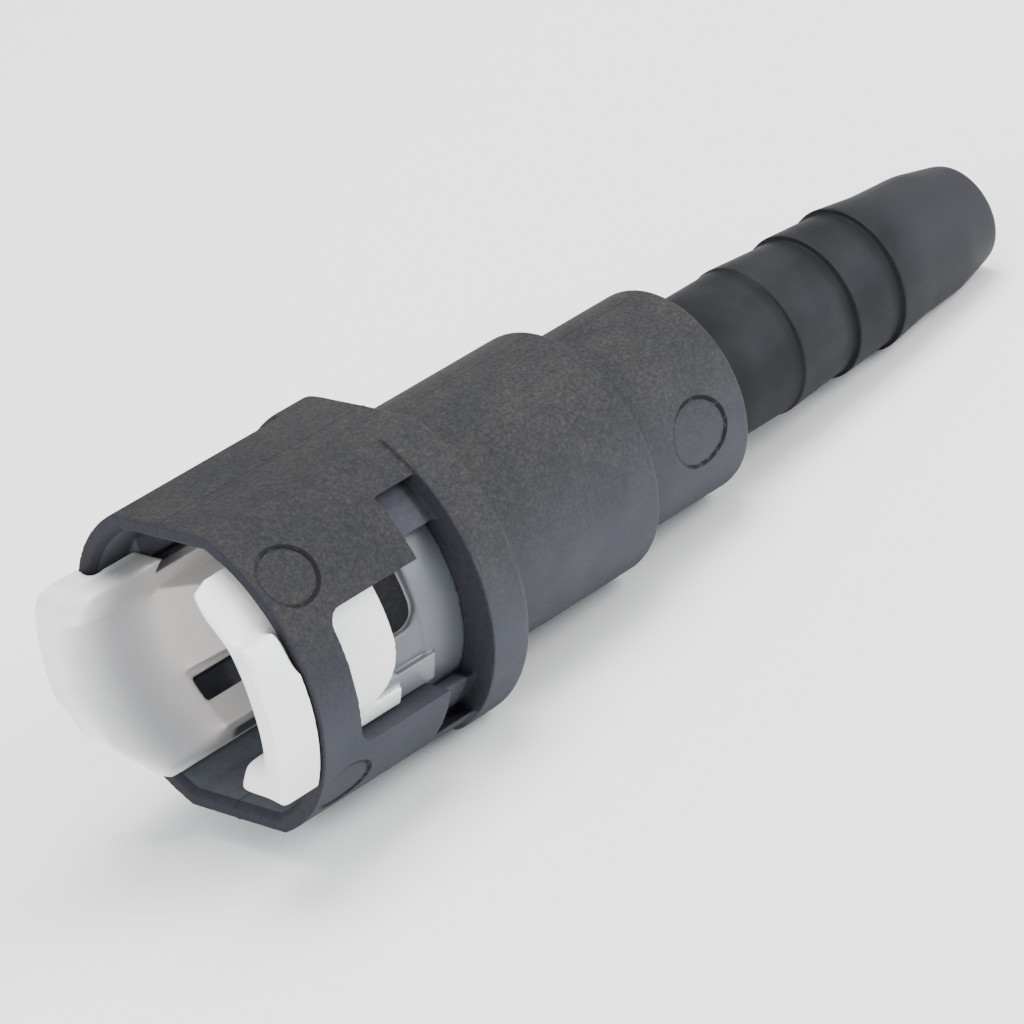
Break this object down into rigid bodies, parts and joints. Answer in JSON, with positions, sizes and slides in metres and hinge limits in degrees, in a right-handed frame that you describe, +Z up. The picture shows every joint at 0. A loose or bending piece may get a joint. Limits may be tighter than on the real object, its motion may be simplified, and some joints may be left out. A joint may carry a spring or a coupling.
{
  "type": "quick connect hose coupler",
  "caption": "Straight black quick-connect coupler with a windowed housing, a white press-to-release retainer, inner seals and a barbed stem for a hose.",
  "frame": {"origin": "on the bore's axis, at the collar's front face where the gland bush starts", "axes": "+X along the bore from the mouth to the barbed tip; +Z up, across the housing's two flats; the two windows look along -Y and +Y"},
  "size_m": [0.0689, 0.0212, 0.019],
  "materials": {
    "body": "satin, spark-eroded grain",
    "retainer": "satin, natural milky white",
    "bush": "satin",
    "seal": "smooth"
  },
  "bodies": {
    "root": {"body": "body", "retainer": "retainer", "gland_bush": "bush", "front_o_ring": "seal", "spacer_ring": "bush", "rear_o_ring": "seal"}
  },
  "joints": []
}
